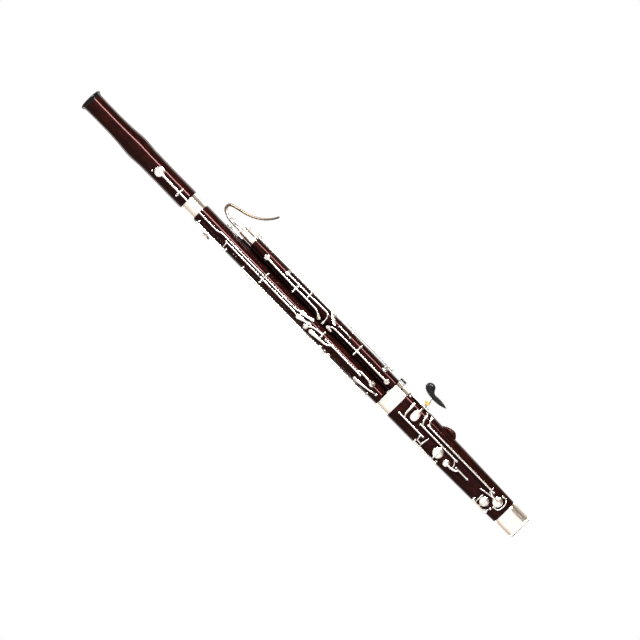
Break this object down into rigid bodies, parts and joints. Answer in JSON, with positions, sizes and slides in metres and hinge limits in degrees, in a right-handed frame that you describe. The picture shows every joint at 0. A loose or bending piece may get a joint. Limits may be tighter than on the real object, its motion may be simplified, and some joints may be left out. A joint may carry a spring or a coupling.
{
  "type": "bassoon",
  "caption": "Bassoon in dark stained maple with silver keywork: boot, wing and long joints, bell, curved bocal and hand rest; joints pull apart and keys work.",
  "frame": {"origin": "centre of the boot cap's flat end face, the instrument's lowest point when it stands upright", "axes": "+Z along the joints towards the bell, +X towards the wing joint and the hand rest, -Y towards the player's thumbs"},
  "size_m": [0.1501, 0.0668, 1.34],
  "materials": {
    "maple": "dark red-brown stained maple under a thick gloss lacquer",
    "silver_plate": "polished silver plate",
    "silver_keys": "polished silver plate, worn softer on the touches",
    "steel_posts": "polished nickel silver posts with steel pivot pins",
    "bronze_bocal": "tarnished bronze-brown metal, satin",
    "cork": "greased tenon cork",
    "black_rim": "polished black ebonite",
    "black_rest": "black ebonite, semi-gloss",
    "brass_screw": "polished brass"
  },
  "bodies": {
    "boot": {"boot_joint": "maple", "boot_band": "silver_plate", "u_tube": "steel_posts", "hand_rest_seat": "silver_plate", "pancake_posts": "steel_posts", "b_flat_thumb_posts": "steel_posts", "f_sharp_lever_posts": "steel_posts", "f_sharp_pad_posts": "steel_posts", "g_sharp_lever_posts": "steel_posts", "g_sharp_pad_posts": "steel_posts", "low_f_pad_posts": "steel_posts", "right_hand_posts": "steel_posts"},
    "boot_cap": {"boot_cap": "silver_plate"},
    "wing_joint": {"wing_joint": "maple", "wing_top_band": "silver_plate", "high_d_posts": "steel_posts", "high_c_posts": "steel_posts", "thumb_c_sharp_posts": "steel_posts", "whisper_posts": "steel_posts", "wing_trill_posts": "steel_posts"},
    "long_joint": {"long_joint": "maple", "thumb_lever_posts": "steel_posts", "low_b_pad_posts": "steel_posts", "little_finger_posts": "steel_posts", "low_c_posts": "steel_posts", "low_d_posts": "steel_posts"},
    "bell": {"bell_joint": "maple", "bell_band": "silver_plate", "bell_rim": "black_rim", "bell_key_posts": "steel_posts"},
    "joint_lock_pin": {"joint_lock_pin": "silver_plate"},
    "bocal_cork": {"bocal_cork": "cork"},
    "bocal": {"bocal": "bronze_bocal"},
    "hand_rest_post": {"hand_rest_post": "silver_plate"},
    "hand_rest": {"hand_rest": "black_rest"},
    "hand_rest_screw": {"hand_rest_screw": "brass_screw"},
    "low_b_flat_bell_key": {"low_b_flat_bell_key": "silver_keys"},
    "low_b_flat_lever": {"low_b_flat_lever": "silver_keys"},
    "low_b_lever": {"low_b_lever": "silver_keys"},
    "low_b_pad_key": {"low_b_pad_key": "silver_keys"},
    "c_sharp_key": {"c_sharp_key": "silver_keys"},
    "e_flat_key": {"e_flat_key": "silver_keys"},
    "low_c_key": {"low_c_key": "silver_keys"},
    "low_d_key": {"low_d_key": "silver_keys"},
    "high_d_key": {"high_d_key": "silver_keys"},
    "high_c_key": {"high_c_key": "silver_keys"},
    "thumb_c_sharp_key": {"thumb_c_sharp_key": "silver_keys"},
    "whisper_key": {"whisper_key": "silver_keys"},
    "wing_trill_key": {"wing_trill_key": "silver_keys"},
    "pancake_key": {"pancake_key": "silver_keys"},
    "b_flat_thumb_key": {"b_flat_thumb_key": "silver_keys"},
    "f_sharp_lever": {"f_sharp_lever": "silver_keys"},
    "f_sharp_pad_key": {"f_sharp_pad_key": "silver_keys"},
    "g_sharp_lever": {"g_sharp_lever": "silver_keys"},
    "g_sharp_pad_key": {"g_sharp_pad_key": "silver_keys"},
    "low_f_pad_key": {"low_f_pad_key": "silver_keys"},
    "low_f_key": {"low_f_key": "silver_keys"},
    "a_flat_key": {"a_flat_key": "silver_keys"},
    "f_sharp_finger_key": {"f_sharp_finger_key": "silver_keys"},
    "g_plateau_key": {"g_plateau_key": "silver_keys"}
  },
  "joints": [
    {"name": "boot_cap_pull", "type": "slide", "parent": "boot", "child": "boot_cap", "axis": [0, 0, -1], "range_m": [0, 0.05]},
    {"name": "wing_joint_pull", "type": "slide", "parent": "boot", "child": "wing_joint", "axis": [0, 0, 1], "range_m": [0, 0.034]},
    {"name": "long_joint_pull", "type": "slide", "parent": "boot", "child": "long_joint", "axis": [0, 0, 1], "range_m": [0, 0.034]},
    {"name": "bell_pull", "type": "slide", "parent": "long_joint", "child": "bell", "axis": [0, 0, 1], "range_m": [0, 0.034]},
    {"name": "joint_lock_slide", "type": "slide", "parent": "wing_joint", "child": "joint_lock_pin", "axis": [0, 0, 1], "range_m": [0, 0.008]},
    {"name": "bocal_pull", "type": "slide", "parent": "wing_joint", "child": "bocal_cork", "axis": [0, 0, 1], "range_m": [0, 0.018]},
    {"name": "bocal_turn", "type": "hinge", "parent": "bocal_cork", "child": "bocal", "pos_m": [0.0165, 0, 0.898], "axis": [0, 0, 1], "range_deg": [-12, 12]},
    {"name": "hand_rest_slide", "type": "slide", "parent": "boot", "child": "hand_rest_post", "axis": [1, 0, 0], "range_m": [0, 0.01]},
    {"name": "hand_rest_turn", "type": "hinge", "parent": "hand_rest_post", "child": "hand_rest", "pos_m": [0.06, -0.005, 0.342], "axis": [1, 0, 0], "range_deg": [-25, 25]},
    {"name": "hand_rest_screw_turn", "type": "hinge", "parent": "boot", "child": "hand_rest_screw", "pos_m": [0.046, -0.0083, 0.342], "axis": [0, -1, 0], "range_deg": [0, 170]},
    {"name": "low_b_flat_lever_hinge", "type": "hinge", "parent": "long_joint", "child": "low_b_flat_lever", "pos_m": [-0.0154, -0.02827, 0.789], "axis": [1, 0, 0], "range_deg": [0, 1.5], "stiffness_Nm_per_rad": 0.5, "springref_deg": -8},
    {"name": "low_b_flat_bell_key_hinge", "type": "hinge", "parent": "bell", "child": "low_b_flat_bell_key", "pos_m": [-0.022, -0.03136, 1.052], "axis": [1, 0, 0], "range_deg": [-6.3, 0]},
    {"name": "low_b_lever_hinge", "type": "hinge", "parent": "long_joint", "child": "low_b_lever", "pos_m": [-0.0248, -0.02827, 0.789], "axis": [1, 0, 0], "range_deg": [0, 1.5], "stiffness_Nm_per_rad": 0.5, "springref_deg": -8},
    {"name": "low_b_pad_key_hinge", "type": "hinge", "parent": "long_joint", "child": "low_b_pad_key", "pos_m": [-0.04, -0.0192, 0.9355], "axis": [0, -0.0109, 0.9999], "range_deg": [-9.5, 0]},
    {"name": "c_sharp_key_hinge", "type": "hinge", "parent": "long_joint", "child": "c_sharp_key", "pos_m": [-0.0404, -0.0151, 0.644], "axis": [0, -0.0141, 0.9999], "range_deg": [0, 9], "stiffness_Nm_per_rad": 0.05, "springref_deg": -8},
    {"name": "e_flat_key_hinge", "type": "hinge", "parent": "long_joint", "child": "e_flat_key", "pos_m": [-0.0404, -0.0151, 0.644], "axis": [0, -0.0141, 0.9999], "range_deg": [0, 9], "stiffness_Nm_per_rad": 0.05, "springref_deg": -8},
    {"name": "low_c_key_hinge", "type": "hinge", "parent": "long_joint", "child": "low_c_key", "pos_m": [-0.014, -0.0263, 0.61], "axis": [1, 0, 0], "range_deg": [-4, 0], "stiffness_Nm_per_rad": 0.05, "springref_deg": 8},
    {"name": "low_d_key_hinge", "type": "hinge", "parent": "long_joint", "child": "low_d_key", "pos_m": [-0.017, -0.02545, 0.5435], "axis": [0, -0.0121, 0.9999], "range_deg": [-12, 0], "stiffness_Nm_per_rad": 0.05, "springref_deg": 8},
    {"name": "high_d_key_hinge", "type": "hinge", "parent": "wing_joint", "child": "high_d_key", "pos_m": [0.0124, -0.0209, 0.724], "axis": [1, 0, 0], "range_deg": [0, 2.8], "stiffness_Nm_per_rad": 0.05, "springref_deg": -8},
    {"name": "high_c_key_hinge", "type": "hinge", "parent": "wing_joint", "child": "high_c_key", "pos_m": [0.0253, -0.02074, 0.692], "axis": [1, 0, 0], "range_deg": [0, 2.8], "stiffness_Nm_per_rad": 0.05, "springref_deg": -8},
    {"name": "thumb_c_sharp_key_hinge", "type": "hinge", "parent": "wing_joint", "child": "thumb_c_sharp_key", "pos_m": [0.014, -0.02274, 0.532], "axis": [1, 0, 0], "range_deg": [-2.7, 0], "stiffness_Nm_per_rad": 0.05, "springref_deg": 8},
    {"name": "whisper_key_hinge", "type": "hinge", "parent": "wing_joint", "child": "whisper_key", "pos_m": [0.0355, -0.01281, 0.7435], "axis": [-0.0041, 0.0108, 0.9999], "range_deg": [-8, 0], "stiffness_Nm_per_rad": 0.05, "springref_deg": 8},
    {"name": "wing_trill_key_hinge", "type": "hinge", "parent": "wing_joint", "child": "wing_trill_key", "pos_m": [0.0416, -0.00364, 0.507], "axis": [0, -0.0057, 1], "range_deg": [0, 9], "stiffness_Nm_per_rad": 0.05, "springref_deg": -8},
    {"name": "pancake_key_hinge", "type": "hinge", "parent": "boot", "child": "pancake_key", "pos_m": [0.0342, -0.01739, 0.35175], "axis": [0, -0.0051, 1], "range_deg": [-5.5, 0], "stiffness_Nm_per_rad": 0.05, "springref_deg": 8},
    {"name": "b_flat_thumb_key_hinge", "type": "hinge", "parent": "boot", "child": "b_flat_thumb_key", "pos_m": [0.0125, -0.02521, 0.2025], "axis": [0, -0.0105, 0.9999], "range_deg": [0, 8], "stiffness_Nm_per_rad": 0.05, "springref_deg": -8},
    {"name": "f_sharp_lever_hinge", "type": "hinge", "parent": "boot", "child": "f_sharp_lever", "pos_m": [0.0025, -0.02592, 0.2625], "axis": [0, -0.0078, 1], "range_deg": [0, 4], "stiffness_Nm_per_rad": 0.05, "springref_deg": -8},
    {"name": "f_sharp_pad_key_hinge", "type": "hinge", "parent": "boot", "child": "f_sharp_pad_key", "pos_m": [-0.0086, -0.02517, 0.179], "axis": [0, -0.0119, 0.9999], "range_deg": [0, 12]},
    {"name": "g_sharp_lever_hinge", "type": "hinge", "parent": "boot", "child": "g_sharp_lever", "pos_m": [-0.013, -0.02637, 0.33325], "axis": [0, -0.0034, 1], "range_deg": [0, 5], "stiffness_Nm_per_rad": 0.05, "springref_deg": -8},
    {"name": "g_sharp_pad_key_hinge", "type": "hinge", "parent": "boot", "child": "g_sharp_pad_key", "pos_m": [-0.034, -0.01867, 0.269], "axis": [0, -0.0161, 0.9999], "range_deg": [-10, 0]},
    {"name": "low_f_pad_key_hinge", "type": "hinge", "parent": "boot", "child": "low_f_pad_key", "pos_m": [-0.0314, -0.01702, 0.101], "axis": [0, -0.031, 0.9995], "range_deg": [0, 10]},
    {"name": "low_f_key_hinge", "type": "hinge", "parent": "boot", "child": "low_f_key", "pos_m": [0.012, 0.02501, 0.18], "axis": [0, 0.0115, 0.9999], "range_deg": [0, 9], "stiffness_Nm_per_rad": 0.05, "springref_deg": -8},
    {"name": "a_flat_key_hinge", "type": "hinge", "parent": "boot", "child": "a_flat_key", "pos_m": [0.012, 0.02501, 0.18], "axis": [0, 0.0115, 0.9999], "range_deg": [-8, 0], "stiffness_Nm_per_rad": 0.05, "springref_deg": 8},
    {"name": "f_sharp_finger_key_hinge", "type": "hinge", "parent": "boot", "child": "f_sharp_finger_key", "pos_m": [0.012, 0.02501, 0.18], "axis": [0, 0.0115, 0.9999], "range_deg": [-8, 0], "stiffness_Nm_per_rad": 0.05, "springref_deg": 8},
    {"name": "g_plateau_key_hinge", "type": "hinge", "parent": "boot", "child": "g_plateau_key", "pos_m": [0.012, 0.02501, 0.18], "axis": [0, 0.0115, 0.9999], "range_deg": [0, 7.5], "stiffness_Nm_per_rad": 0.05, "springref_deg": -8}
  ],
  "couplings": [
    {"joint": "low_b_flat_bell_key_hinge", "follows": "low_b_flat_lever_hinge", "ratio": -4.2},
    {"joint": "low_b_pad_key_hinge", "follows": "low_b_lever_hinge", "ratio": -6.3},
    {"joint": "f_sharp_pad_key_hinge", "follows": "f_sharp_lever_hinge", "ratio": 3},
    {"joint": "g_sharp_pad_key_hinge", "follows": "g_sharp_lever_hinge", "ratio": -2},
    {"joint": "low_f_pad_key_hinge", "follows": "low_f_key_hinge", "ratio": 1.11}
  ]
}
